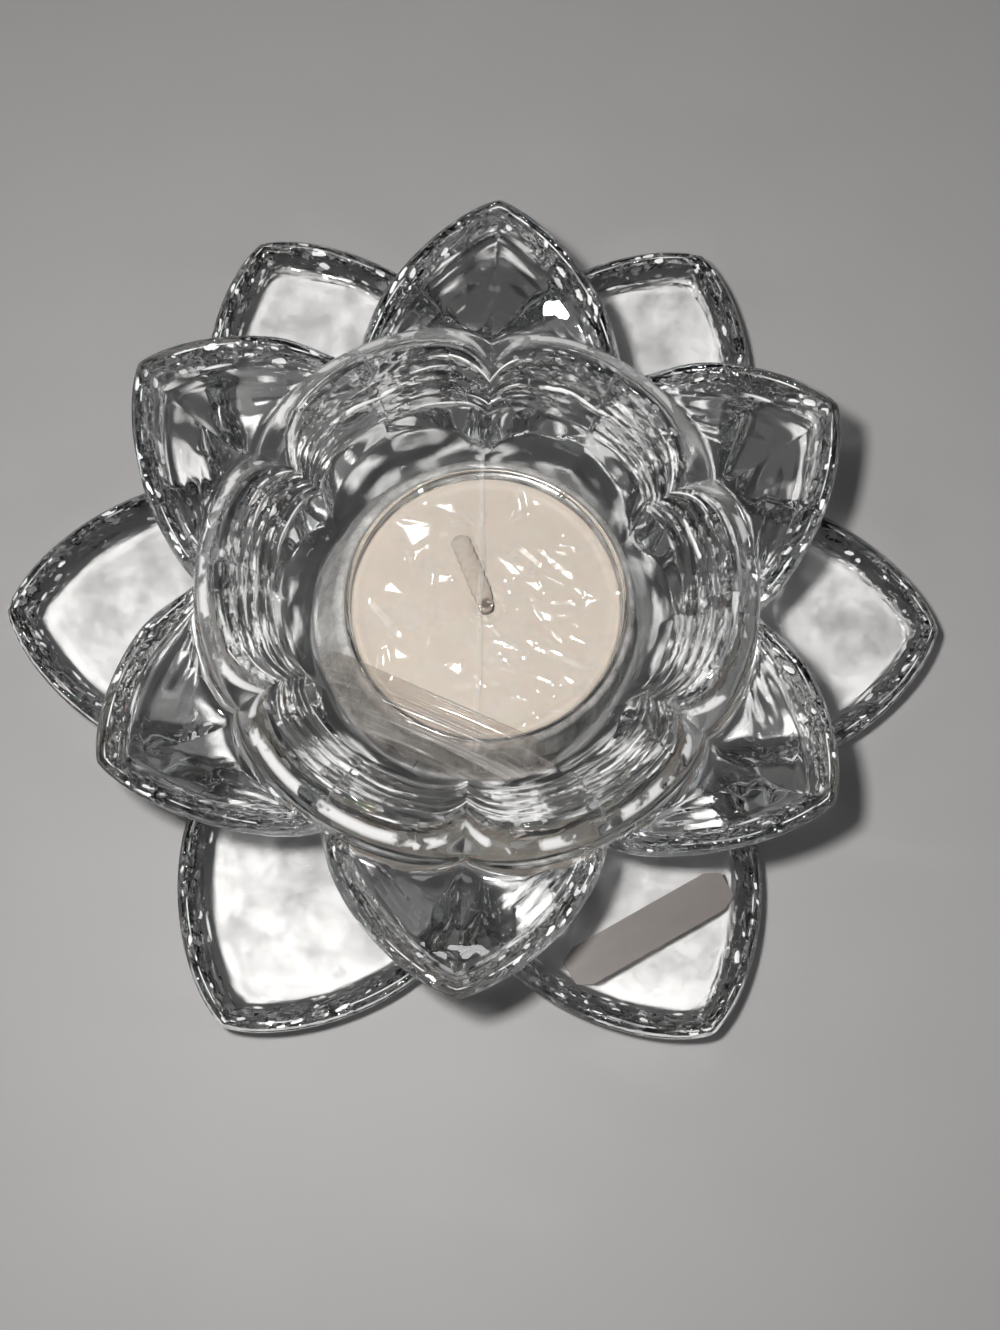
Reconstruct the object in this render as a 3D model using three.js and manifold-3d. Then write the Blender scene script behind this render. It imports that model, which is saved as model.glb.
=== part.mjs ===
// Lotus votive holder of clear pressed glass, with the wrapped tealight that stands in it.
//
// The glass is two pressings. The saucer is a row of six broad petals that lie almost on the table.
// The bowl stands on it: a fluted well for the candle, a thick six-lobed ring round the mouth and a row
// of six keeled petals that flare out between the saucer's. A thin disc of clear adhesive joins them.
// The tealight is loose in the well: a clear cup, wax, a folded-down wick held by a metal foot, and a
// clear film wrapper. A blank clear-grey label lies across one saucer petal.
//
// Millimetres, +Z up. The origin is on the table, under the middle of the well. +X runs along a saucer petal.

import * as THREE from "three";
import { mergeVertices } from "three/addons/utils/BufferGeometryUtils.js";
import Module from "manifold-3d";

const wasm = await Module();
wasm.setup();

// Both rows
const petalCount = 6;
const petalLeastThickness = 1.2; // at the rim, over the bevel
const restGap = 0.3; // between a piece and the curved or loose piece that it rests on

// Saucer row
const saucerTipRadius = 66.5;
const saucerWidestRadius = 38;
const saucerHalfWidth = 21.3;
const saucerTopHeight = 4; // the flat middle that the bowl is bonded to
const saucerPanRise = 3.2; // from the flat middle to the pan beside the tip
const saucerUndersideRise = 3;
const saucerRootRadius = 24; // where a petal starts inside the disc
const saucerLipHeight = 2.1;
const saucerLipWidth = 3.8;
const saucerLipStartRadius = 35; // from here to the next radius the lip rises out of the disc
const saucerLipFullRadius = 46;
const saucerBevelHeight = 3.4; // of the slanting face under the rim
const saucerBevelWidth = 3.2;
const saucerEdgeRound = 1.3;
const saucerBeadHeight = 0.7; // of the pinched bead on the tip
const saucerBeadInset = 2.6;
const saucerBeadRadius = 1.6;
const saucerDiscRadius = 36;
const saucerFlatRadius = 31; // the underside of a petal starts to rise from here
const saucerDiscFall = 0.8; // of the disc's top from the bond to its edge
const saucerRootDrop = 0.6; // keeps the petals' roots inside the disc
const saucerRootLift = 0.3;
const saucerRecessRadius = 21; // shallow hollow underneath, so that it stands on a ring
const saucerRecessDepth = 0.6;
const saucerTipPoint = 0.7; // larger is more pointed

// Bond between the two pressings
const bondRadius = 19;
const bondThickness = 0.3;

// Bowl: well and ring
const bowlFloorThickness = 2.1;
const bowlFootRadius = 20;
const wellFloorRadius = 23.4; // the well widens upwards, so that the pressing plunger draws out
const wellRadius = 25.6; // at the top, at the creases between the flutes
const fluteDepth = 1.9; // how much wider the well is in the middle of a flute, at the top
const fluteFloorDepth = 0.6; // the same at the floor
const wellEdgeHeight = 23.6; // where the well turns outwards into the ring
const ringCreaseRadius = 29.9;
const ringCreaseHeight = 26.2;
const ringCreaseAngle = 6; // degrees in which a crease opens into its lobes
const ringLobeRadius = 33.7;
const ringLobeHeight = 30.6;
const ringOuterRadius = 38.1;
const ringOuterNotch = 2.2; // how far the ring's outside draws in at a crease
const ringOuterHeight = 24.5;
const ringGrooveDepth = 3; // of the groove under the ring between two petals

// Bowl: petals
const bowlTurn = 28; // degrees from a saucer petal to a bowl petal
const bowlTipRadius = 54.6;
const bowlTipHeight = 28.6;
const bowlWidestRadius = 31;
const bowlHalfWidth = 19.3;
const bowlRootRadius = 27;
const bowlRootHeight = 20.2; // of the petal's scoop beside the ring
const bowlPetalThickness = 3.4;
const bowlKeelDepth = 6.5;
const bowlScoopDepth = 1.8; // of a petal's hollow at its middle line
const bowlLipHeight = 1.9;
const bowlLipWidth = 3.4;
const bowlLipStartRadius = 36; // from here to the next radius the lip rises out of the ring
const bowlLipFullRadius = 44;
const bowlBevelHeight = 3.2;
const bowlBevelWidth = 2.6;
const bowlEdgeRound = 1.2;
const bowlTipPoint = 0.74;

// Tealight
const candleOffsetX = 1.2; // it stands a little off the middle of the well
const candleOffsetY = -1.2;
const cupRadius = 19.2;
const cupHeight = 15.2;
const cupWall = 0.55;
const cupTaper = 0.1;
const cupRimRadius = 0.45;
const castGap = 0.15; // between the wax and the cup that it was poured into
const cupBead = 0.15; // how far the rim's bead stands out
const waxHeadroom = 1.5; // from the wax up to the cup's rim
const waxShoulder = 1.1;
const wickRadius = 0.9;
const wickHoleClearance = 0.2;
const wickFoldedLength = 10.5;
const wickFoldedDirection = 113; // degrees from +X
const wickBendRadius = 1.9;
const footRadius = 6.2;
const footThickness = 0.4;
const footNeckHeight = 5;
const footNeckWall = 0.4;

// Film wrapper
const filmThickness = 0.3;
const filmSag = 0.9; // between the cup's rim and the wick
const filmTentWidth = 3.4; // of the ridge that the folded wick pushes up
const filmWellClearance = 0.4; // where the loose edge round the cup's foot comes nearest to the well
const filmFinHeight = 3.4;
const filmPleats = 10;
const filmPleatDepth = 0.7;

// Blank label on a saucer petal
const labelPetal = 5; // counted anticlockwise from +X
const labelInset = 16.7; // from the petal's tip to the label's middle line
const labelLength = 25.5;
const labelWidth = 5.8;
const labelThickness = 0.3;

// Heights that follow from the sizes above
const bowlFootHeight = saucerTopHeight + bondThickness;
const floorHeight = bowlFootHeight + bowlFloorThickness;
const petalPitch = 360 / petalCount;
const labelRadius = saucerTipRadius - labelInset;
const filmFinRadius = wellFloorRadius - Math.hypot(candleOffsetX, candleOffsetY) - filmWellClearance;

const materials = {
  glass: new THREE.MeshStandardMaterial({ color: 0xe9eeee, roughness: 0.03, transparent: true, opacity: 0.35 }),
  bond: new THREE.MeshStandardMaterial({ color: 0xf2f4f3, roughness: 0.2, transparent: true, opacity: 0.35 }),
  clearPlastic: new THREE.MeshStandardMaterial({ color: 0xdfe0dc, roughness: 0.12, transparent: true, opacity: 0.35 }),
  wax: new THREE.MeshStandardMaterial({ color: 0xe6dccd, roughness: 0.55 }),
  cotton: new THREE.MeshStandardMaterial({ color: 0xcdbfa8, roughness: 0.9 }),
  tinplate: new THREE.MeshStandardMaterial({ color: 0xb9bbbd, roughness: 0.3, metalness: 1 }),
  film: new THREE.MeshStandardMaterial({ color: 0xf4f4f1, roughness: 0.08, transparent: true, opacity: 0.2 }),
  label: new THREE.MeshStandardMaterial({ color: 0x8f8781, roughness: 0.35, transparent: true, opacity: 0.7 }),
};

const smoothstep = (value, low, high) => THREE.MathUtils.smoothstep(value, low, high);
const radians = THREE.MathUtils.degToRad;

// Faces wound outwards, whichever way the points ran.
function closedGeometry(points, faces) {
  let volume = 0;
  for (const [a, b, c] of faces) {
    volume += points[a].dot(new THREE.Vector3().crossVectors(points[b], points[c]));
  }
  const outward = volume > 0 ? faces : faces.map(([a, b, c]) => [a, c, b]);
  const geometry = new THREE.BufferGeometry().setFromPoints(points);
  geometry.setIndex(outward.flat());
  geometry.computeVertexNormals();
  return geometry;
}

// A closed solid through rings of points. Each end is closed by a fan about its own end point.
function loft(rings, startPoint, endPoint) {
  const count = rings[0].length;
  const points = [...rings.flat(), startPoint, endPoint];
  const start = points.length - 2;
  const end = points.length - 1;
  const faces = [];
  for (let ring = 0; ring < rings.length - 1; ring++) {
    for (let k = 0; k < count; k++) {
      const a = ring * count + k;
      const b = ring * count + ((k + 1) % count);
      faces.push([a, b, b + count], [a, b + count, a + count]);
    }
  }
  const last = (rings.length - 1) * count;
  for (let k = 0; k < count; k++) {
    faces.push([(k + 1) % count, k, start], [last + k, last + ((k + 1) % count), end]);
  }
  return closedGeometry(points, faces);
}

// A turned solid whose profile may differ from one angle to the next. Each profile starts and ends on the axis.
function turned(angles, profileAt) {
  const profiles = angles.map(({ aside }) => profileAt(aside));
  const inner = profiles.map((profile, k) => {
    const angle = radians(angles[k].turn);
    const [cosine, sine] = [Math.cos(angle), Math.sin(angle)];
    return profile.slice(1, -1).map((p) => new THREE.Vector3(p.x * cosine, p.x * sine, p.y));
  });
  const rings = inner[0].map((_, level) => inner.map((line) => line[level]));
  const ends = [profiles[0][0], profiles[0].at(-1)].map((p) => new THREE.Vector3(0, 0, p.y));
  return loft(rings, ends[0], ends[1]);
}

// A turned solid from a profile that runs anticlockwise, given as [radius, height].
const turnedAbout = (points, segments) =>
  new THREE.LatheGeometry(
    points.map(([x, y]) => new THREE.Vector2(x, y)),
    segments,
  ).rotateX(Math.PI / 2);

function toSolid(geometry) {
  const bare = geometry.clone();
  bare.deleteAttribute("normal");
  bare.deleteAttribute("uv");
  const merged = mergeVertices(bare, 1e-4);
  return new wasm.Manifold(
    new wasm.Mesh({
      numProp: 3,
      vertProperties: merged.attributes.position.array,
      triVerts: new Uint32Array(merged.index.array),
    }),
  );
}

function toGeometry(solid) {
  const mesh = solid.getMesh();
  const geometry = new THREE.BufferGeometry();
  geometry.setAttribute("position", new THREE.BufferAttribute(new Float32Array(mesh.vertProperties), 3));
  geometry.setIndex(new THREE.BufferAttribute(new Uint32Array(mesh.triVerts), 1));
  geometry.computeVertexNormals();
  return geometry;
}

function joined(first, ...others) {
  return toGeometry(others.reduce((sum, next) => sum.add(toSolid(next)), toSolid(first)));
}

// Half the width of a petal at a radius: full up to its widest place, then an ogive that closes at the tip.
function petalHalfWidth(shape, radius) {
  const share = (radius - shape.widestRadius) / (shape.tipRadius - shape.widestRadius);
  return shape.halfWidth * (1 - THREE.MathUtils.clamp(share, 0, 1) ** 1.8) ** shape.tipPoint;
}

// Heights of a petal's upper and lower face at a place beside its middle line. A lip and, underneath, a
// bevel of even width follow the rounded edge round the tip.
function petalFaces(shape, radius, aside) {
  const halfWidth = petalHalfWidth(shape, radius);
  const step = 0.05;
  const slope = (petalHalfWidth(shape, radius - step) - petalHalfWidth(shape, radius + step)) / (2 * step);
  const fromEdge = Math.max(0, halfWidth - Math.abs(aside)) / Math.hypot(1, slope);
  const across = halfWidth > 0 ? Math.min(1, Math.abs(aside) / halfWidth) : 1;
  const roundShare = Math.min(1, fromEdge / shape.edgeRound);
  const rounding = Math.sqrt(1 - (1 - roundShare) ** 2);
  const fade = smoothstep(radius, shape.lipStartRadius, shape.lipFullRadius);
  const lip = shape.lipHeight * fade * (1 - smoothstep(fromEdge, 0.25 * shape.lipWidth, shape.lipWidth));
  const bevel = shape.bevelHeight * fade * Math.max(0, 1 - fromEdge / shape.bevelWidth) ** 1.2;
  const scoop = shape.scoopAt(radius) * (1 - across ** 2);
  const top = shape.topAt(radius) + lip - scoop + shape.beadAt(radius, aside);
  const beveled = shape.bottomAt(radius) - shape.keelAt(radius) * (1 - across) + bevel;
  const bottom = Math.min(beveled, top - petalLeastThickness);
  const middle = (top + bottom) / 2;
  return {
    top: middle + (top - middle) * rounding,
    bottom: middle + (bottom - middle) * rounding,
  };
}

// One petal along +X, lofted through upright sections that stand across it.
function petal(shape) {
  const steps = 13;
  // From the edge to the middle line, closer where the lip and the bevel turn
  const upper = [1, 0.965, 0.9, 0.82, 0.7, 0.4, 0];
  const lower = [0.94, 0.85, 0.5, 0];
  const mirrored = (shares) => [...shares, ...shares.slice(0, -1).reverse().map((share) => -share)];
  const rings = [];
  for (let step = 0; step < steps; step++) {
    const along = 1 - (1 - step / steps) ** 1.6;
    const radius = shape.rootRadius + (shape.tipRadius - shape.rootRadius) * along;
    const halfWidth = petalHalfWidth(shape, radius);
    const point = (across, face) =>
      new THREE.Vector3(radius, across * halfWidth, petalFaces(shape, radius, across * halfWidth)[face]);
    rings.push([
      ...mirrored(upper).map((across) => point(across, "top")),
      ...mirrored(lower)
        .reverse()
        .map((across) => point(across, "bottom")),
    ]);
  }
  const middleAt = (radius) => {
    const faces = petalFaces(shape, radius, 0);
    return (faces.top + faces.bottom) / 2;
  };
  const root = new THREE.Vector3(shape.rootRadius, 0, middleAt(shape.rootRadius));
  const tip = new THREE.Vector3(shape.tipRadius, 0, middleAt(shape.tipRadius));
  return loft(rings, root, tip);
}

function petalRow(shape, turn) {
  return Array.from({ length: petalCount }, (_, k) => petal(shape).rotateZ(radians(turn + k * petalPitch)));
}

const saucerPetal = {
  rootRadius: saucerRootRadius,
  tipRadius: saucerTipRadius,
  widestRadius: saucerWidestRadius,
  halfWidth: saucerHalfWidth,
  tipPoint: saucerTipPoint,
  edgeRound: saucerEdgeRound,
  lipHeight: saucerLipHeight,
  lipWidth: saucerLipWidth,
  lipStartRadius: saucerLipStartRadius,
  lipFullRadius: saucerLipFullRadius,
  bevelHeight: saucerBevelHeight,
  bevelWidth: saucerBevelWidth,
  topAt: (radius) =>
    saucerTopHeight -
    saucerRootDrop * (1 - smoothstep(radius, saucerRootRadius, saucerDiscRadius)) +
    saucerPanRise * 2 * smoothstep(radius, saucerWidestRadius, 2 * saucerTipRadius - saucerWidestRadius),
  bottomAt: (radius) => {
    const share = Math.max(0, radius - saucerFlatRadius) / (saucerTipRadius - saucerFlatRadius);
    return saucerRootLift + saucerUndersideRise * share ** 1.4;
  },
  keelAt: () => 0,
  scoopAt: () => 0,
  beadAt: (radius, aside) => {
    const away = Math.hypot(radius - saucerTipRadius + saucerBeadInset, aside);
    return saucerBeadHeight * (1 - smoothstep(away, 0, saucerBeadRadius));
  },
};

function saucerGeometry() {
  const edge = saucerTopHeight / 2;
  const disc = turnedAbout(
    [
      [0, saucerRecessDepth],
      [saucerRecessRadius, saucerRecessDepth],
      [saucerRecessRadius + saucerRecessDepth, 0],
      [saucerDiscRadius - edge, 0],
      [saucerDiscRadius - 0.3 * edge, 0.3 * edge],
      [saucerDiscRadius, edge],
      [saucerDiscRadius - 0.3 * edge, 1.4 * edge],
      [saucerDiscRadius - edge, saucerTopHeight - saucerDiscFall],
      [bondRadius + 1, saucerTopHeight],
      [0, saucerTopHeight],
    ],
    48,
  );
  return joined(disc, ...petalRow(saucerPetal, 0));
}

const bowlPetal = {
  rootRadius: bowlRootRadius,
  tipRadius: bowlTipRadius,
  widestRadius: bowlWidestRadius,
  halfWidth: bowlHalfWidth,
  tipPoint: bowlTipPoint,
  edgeRound: bowlEdgeRound,
  lipHeight: bowlLipHeight,
  lipWidth: bowlLipWidth,
  lipStartRadius: bowlLipStartRadius,
  lipFullRadius: bowlLipFullRadius,
  bevelHeight: bowlBevelHeight,
  bevelWidth: bowlBevelWidth,
  topAt: (radius) => {
    const share = Math.max(0, (radius - ringCreaseRadius) / (bowlTipRadius - ringCreaseRadius));
    return bowlRootHeight + (bowlTipHeight - bowlRootHeight) * share ** 1.25;
  },
  bottomAt: (radius) => bowlPetal.topAt(radius) - bowlPetalThickness * (1.5 - 0.5 * bowlPetal.shareAt(radius)),
  shareAt: (radius) => (radius - bowlRootRadius) / (bowlTipRadius - bowlRootRadius),
  keelAt: (radius) => bowlKeelDepth * (1 - bowlPetal.shareAt(radius) ** 2.5),
  scoopAt: (radius) => bowlScoopDepth * (1 - bowlPetal.shareAt(radius) ** 2),
  beadAt: () => 0,
};

// The bowl's wall at an angle from a petal's middle line, where a crease parts two flutes and two lobes.
function bowlProfile(angle) {
  const lobe = 1 - Math.exp(-Math.abs(angle) / ringCreaseAngle);
  const between = 1 - Math.cos(radians((angle * petalCount) / 2));
  const low = wellFloorRadius + fluteFloorDepth * lobe;
  const high = wellRadius + fluteDepth * lobe;
  const crestRadius = THREE.MathUtils.lerp(ringCreaseRadius, ringLobeRadius, lobe);
  const crestHeight = THREE.MathUtils.lerp(ringCreaseHeight, ringLobeHeight, lobe);
  const outer = ringOuterRadius - ringOuterNotch * (1 - lobe);
  const shoulder = crestHeight - 2 - 0.6 * lobe;
  const groove = ringGrooveDepth * between;
  const points = [
    [low - 2.6, floorHeight],
    [low - 0.6, floorHeight + 0.7],
    [low, floorHeight + 2.6],
    [(low + high) / 2 + 0.2, (floorHeight + wellEdgeHeight) / 2],
    [high + 0.3, wellEdgeHeight - 1.2],
    [high + 1.4, wellEdgeHeight + 0.8 * lobe],
    [crestRadius, crestHeight],
    [outer - 0.9, shoulder],
    [outer, ringOuterHeight - 2 * (1 - lobe)],
    [outer - 0.8, (floorHeight + ringOuterHeight) / 2 + 1.6 + groove],
    [(bowlFootRadius + ringOuterRadius) / 2 + 1.2, floorHeight + 3.2 + groove],
    [bowlFootRadius + 1.6, bowlFootHeight + 1],
    [bowlFootRadius, bowlFootHeight],
  ].map(([x, y]) => new THREE.Vector2(x, y));
  const wall = new THREE.SplineCurve(points).getPoints(21);
  return [new THREE.Vector2(0, floorHeight), ...wall, new THREE.Vector2(0, bowlFootHeight)];
}

// Angles round the bowl from a petal's middle line, closer together at the crease.
function bowlAngles() {
  const half = [0, 0.07, 0.17, 0.32, 0.52, 0.76].map((share) => (share * petalPitch) / 2);
  const sector = [...half.slice(1).reverse().map((angle) => -angle), ...half, petalPitch / 2];
  const sectorAt = (k) => sector.map((aside) => ({ turn: k * petalPitch + aside, aside }));
  return Array.from({ length: petalCount }, (_, k) => sectorAt(k)).flat();
}

function bowlGeometry() {
  const wall = turned(bowlAngles(), bowlProfile).rotateZ(radians(bowlTurn));
  return joined(wall, ...petalRow(bowlPetal, bowlTurn));
}

const bondGeometry = () =>
  new THREE.CylinderGeometry(bondRadius, bondRadius, bondThickness, 48)
    .rotateX(Math.PI / 2)
    .translate(0, 0, saucerTopHeight + bondThickness / 2);

// What follows is the tealight, drawn about its own axis with its base at height 0.
const waxTop = cupHeight - waxHeadroom;
const waxRadius = cupRadius - cupTaper - cupWall - castGap;
const wickHoleRadius = wickRadius + wickHoleClearance;
const footBore = wickRadius + castGap;

const cupGeometry = () =>
  turnedAbout(
    [
      [0, 0],
      [cupRadius - cupTaper - 1.1, 0],
      [cupRadius - cupTaper - 0.3, 0.4],
      [cupRadius - cupTaper, 1.3],
      [cupRadius, cupHeight - 2 * cupRimRadius],
      [cupRadius + cupBead, cupHeight - cupRimRadius],
      [cupRadius, cupHeight - 0.1],
      [cupRadius - cupRimRadius, cupHeight],
      [cupRadius - cupWall, cupHeight - cupRimRadius],
      [cupRadius - cupTaper - cupWall, cupWall + 1],
      [cupRadius - cupTaper - cupWall - 0.9, cupWall],
      [0, cupWall],
    ],
    44,
  );

// The wax is hollow underneath for the metal foot, and has a hole for the wick.
function waxGeometry() {
  const base = cupWall + castGap;
  const footSpace = base + footThickness + castGap;
  const neckTop = base + footNeckHeight + castGap;
  const neckSpace = footBore + footNeckWall + castGap;
  return turnedAbout(
    [
      [wickHoleRadius, neckTop],
      [neckSpace, neckTop],
      [neckSpace, footSpace],
      [footRadius + castGap, footSpace],
      [footRadius + castGap, base],
      [waxRadius - 1.1, base],
      [waxRadius - 0.2, base + 0.9],
      [waxRadius, base + 2],
      [waxRadius, waxTop - waxShoulder],
      [waxRadius - 0.35 * waxShoulder, waxTop - 0.3 * waxShoulder],
      [waxRadius - 1.4 * waxShoulder, waxTop],
      [wickHoleRadius + 2.2, waxTop],
      [wickHoleRadius, waxTop - 0.5],
      [wickHoleRadius, neckTop],
    ],
    44,
  );
}

function footGeometry() {
  const base = cupWall + castGap;
  const neck = footBore + footNeckWall;
  return turnedAbout(
    [
      [footBore, base],
      [footRadius, base],
      [footRadius, base + footThickness],
      [neck, base + footThickness],
      [neck, base + footNeckHeight],
      [footBore, base + footNeckHeight],
      [footBore, base],
    ],
    28,
  );
}

// The wick stands in its foot, comes out of the wax and is folded down flat under the film.
function wickGeometry() {
  const lying = waxTop + restGap + wickRadius;
  const direction = radians(wickFoldedDirection);
  const away = (distance, height) =>
    new THREE.Vector3(distance * Math.cos(direction), distance * Math.sin(direction), height);
  const bendStart = lying - wickBendRadius;
  const route = new THREE.CurvePath();
  route.add(new THREE.LineCurve3(away(0, cupWall + castGap), away(0, bendStart)));
  route.add(new THREE.QuadraticBezierCurve3(away(0, bendStart), away(0, lying), away(wickBendRadius, lying)));
  route.add(new THREE.LineCurve3(away(wickBendRadius, lying), away(wickFoldedLength, lying)));
  const section = new THREE.Shape().absarc(0, 0, wickRadius, 0, 2 * Math.PI);
  return new THREE.ExtrudeGeometry(section, { steps: 30, curveSegments: 5, extrudePath: route });
}

// Lower face of the film over the mouth of the cup. It lies on the rim, sags towards the wax and is
// pushed up into a ridge by the folded wick.
function filmHeight(radius, angle) {
  const rimTop = cupHeight + restGap;
  const turn = angle - radians(wickFoldedDirection);
  const alongWick = THREE.MathUtils.clamp(radius * Math.cos(turn), 0, wickFoldedLength);
  const fromWick = Math.hypot(radius * Math.cos(turn) - alongWick, radius * Math.sin(turn));
  const sagged = rimTop - filmSag * Math.sqrt(Math.max(0, 1 - (radius / (cupRadius - cupRimRadius)) ** 4));
  const overWick = waxTop + 2 * restGap + 2 * wickRadius + 0.3;
  const tent = THREE.MathUtils.lerp(overWick, sagged, smoothstep(fromWick, wickRadius, filmTentWidth));
  return Math.max(sagged, tent);
}

// The film is drawn tight over the cup, and its welded edge stands out round the foot as a wavy fin.
function filmGeometry() {
  const rimTop = cupHeight + restGap;
  const side = cupRadius + cupBead + restGap;
  const shares = [0.13, 0.28, 0.45, 0.64, 0.84];
  const profileAt = (degrees) => {
    const angle = radians(degrees);
    const wave = Math.sin(angle * filmPleats);
    const fin = filmFinRadius - filmPleatDepth * (0.5 - 0.5 * wave);
    const finHeight = restGap + filmFinHeight + filmPleatDepth * wave;
    const over = shares.map((share) => [share * side, filmHeight(share * side, angle)]);
    return [
      [0, filmHeight(0, angle) + filmThickness],
      ...over.map(([x, y]) => [x, y + filmThickness]),
      [side - 0.3, rimTop + filmThickness],
      [side + filmThickness, rimTop - 0.5],
      [side + filmThickness, finHeight + 1.6],
      [fin, finHeight + filmThickness],
      [fin, finHeight],
      [side + filmThickness, finHeight - 0.8],
      [side + filmThickness, restGap],
      [side, restGap],
      [side, rimTop - 0.6],
      [side - 0.5, rimTop],
      ...over.reverse(),
      [0, filmHeight(0, angle)],
    ].map(([x, y]) => new THREE.Vector2(x, y));
  };
  const angles = Array.from({ length: filmPleats * 4 }, (_, k) => (k * 90) / filmPleats);
  return turned(angles.map((turn) => ({ turn, aside: turn })), profileAt);
}

// The label follows the hollow of the petal that it lies on.
function labelGeometry() {
  const across = 13;
  const cornerRadius = 1.1;
  const rings = [];
  for (let k = 0; k < across; k++) {
    const y = labelLength * (k / (across - 1) - 0.5);
    const fromEnd = labelLength / 2 - Math.abs(y);
    const intoCorner = Math.max(0, cornerRadius - fromEnd);
    const cornerCut = cornerRadius - Math.sqrt(cornerRadius ** 2 - intoCorner ** 2);
    const low = labelRadius - labelWidth / 2 + cornerCut;
    const high = labelRadius + labelWidth / 2 - cornerCut;
    const seat = (radius) => petalFaces(saucerPetal, radius, y).top + restGap;
    rings.push([
      new THREE.Vector3(low, y, seat(low)),
      new THREE.Vector3(labelRadius, y, seat(labelRadius)),
      new THREE.Vector3(high, y, seat(high)),
      new THREE.Vector3(high, y, seat(high) + labelThickness),
      new THREE.Vector3(labelRadius, y, seat(labelRadius) + labelThickness),
      new THREE.Vector3(low, y, seat(low) + labelThickness),
    ]);
  }
  const middle = (ring) => ring.reduce((sum, p) => sum.add(p), new THREE.Vector3()).divideScalar(ring.length);
  return loft(rings, middle(rings[0]), middle(rings.at(-1))).rotateZ(radians(labelPetal * petalPitch));
}

function piece(name, geometry, material) {
  const mesh = new THREE.Mesh(geometry, material);
  mesh.name = name;
  return mesh;
}

const holder = new THREE.Group();
holder.add(
  piece("petal_saucer", saucerGeometry(), materials.glass),
  piece("bond_disc", bondGeometry(), materials.bond),
  piece("petal_bowl", bowlGeometry(), materials.glass),
  piece("blank_label", labelGeometry(), materials.label),
);

const tealight = new THREE.Group();
tealight.add(
  piece("tealight_cup", cupGeometry(), materials.clearPlastic),
  piece("tealight_wax", waxGeometry(), materials.wax),
  piece("wick_foot", footGeometry(), materials.tinplate),
  piece("wick", wickGeometry(), materials.cotton),
  piece("film_wrapper", filmGeometry(), materials.film),
);
tealight.position.set(candleOffsetX, candleOffsetY, floorHeight);

const lotusVotive = new THREE.Group();
lotusVotive.add(holder, tealight);

export default lotusVotive;
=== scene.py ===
import math

import bpy
import numpy as np
from mathutils import Matrix, Vector


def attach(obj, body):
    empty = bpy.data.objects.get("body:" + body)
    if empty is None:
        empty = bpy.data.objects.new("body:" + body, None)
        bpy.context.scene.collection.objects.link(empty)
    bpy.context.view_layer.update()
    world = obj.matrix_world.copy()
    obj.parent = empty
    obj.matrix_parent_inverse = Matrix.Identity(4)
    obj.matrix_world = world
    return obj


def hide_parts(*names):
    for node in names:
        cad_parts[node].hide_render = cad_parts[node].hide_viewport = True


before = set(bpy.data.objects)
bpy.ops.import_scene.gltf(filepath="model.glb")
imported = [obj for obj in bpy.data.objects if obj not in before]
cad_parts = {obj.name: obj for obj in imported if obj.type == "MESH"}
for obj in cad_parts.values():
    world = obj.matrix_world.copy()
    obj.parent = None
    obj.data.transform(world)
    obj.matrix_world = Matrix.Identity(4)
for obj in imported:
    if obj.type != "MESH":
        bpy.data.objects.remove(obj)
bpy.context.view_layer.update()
scene = bpy.context.scene
scene.view_settings.view_transform = "Standard"

# Viewpoint. The holder is seen from nearly straight above, from about 26 cm over the table and a little
# from the front, with one saucer petal pointing to the right. Distances are in millimetres.
MM = 0.001

eye_distance = 265.4
eye_shift = (-3.7, 4.5)
eye_tilt, eye_roll, eye_turn = (math.radians(a) for a in (-13.63, 1.87, -1.25))
focal_length, image_height = 1800, 1330  # in pixels
sensor_width = 36
tilted = Matrix.Rotation(eye_tilt, 3, "X") @ Matrix.Rotation(eye_turn, 3, "Z")
look = Matrix.Rotation(eye_roll, 3, "Y") @ tilted
eye = look.transposed() @ Vector((-eye_shift[0], -eye_shift[1], eye_distance)) * MM

camera = bpy.data.objects.new("overhead_camera", bpy.data.cameras.new("overhead_camera"))
camera.matrix_world = Matrix.Translation(eye) @ look.transposed().to_4x4()
camera.data.sensor_width = sensor_width
camera.data.lens = sensor_width * focal_length / image_height
camera.data.clip_start = 0.01
scene.collection.objects.link(camera)
scene.camera = camera


# Table and light. A plain grey laminate table top, a small lamp close beside the viewpoint and four faint
# strips far out. The room is dark above eye height, so that the edges of the glass read dark, and has
# bright panes that show only in reflections and through glass. Far out, the table looks an even grey and
# lights nothing.
class Wire:
    """One output of a shader node. Arithmetic on wires and numbers adds Math nodes."""

    def __init__(self, finish, socket):
        self.finish, self.socket = finish, socket

    def __add__(self, other):
        return self.finish.math("ADD", self, other)

    __radd__ = __add__

    def __sub__(self, other):
        return self.finish.math("SUBTRACT", self, other)

    def __rsub__(self, other):
        return self.finish.math("SUBTRACT", other, self)

    def __mul__(self, other):
        return self.finish.math("MULTIPLY", self, other)

    __rmul__ = __mul__

    def __truediv__(self, other):
        return self.finish.math("DIVIDE", self, other)

    def __pow__(self, other):
        return self.finish.math("POWER", self, other)


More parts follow.
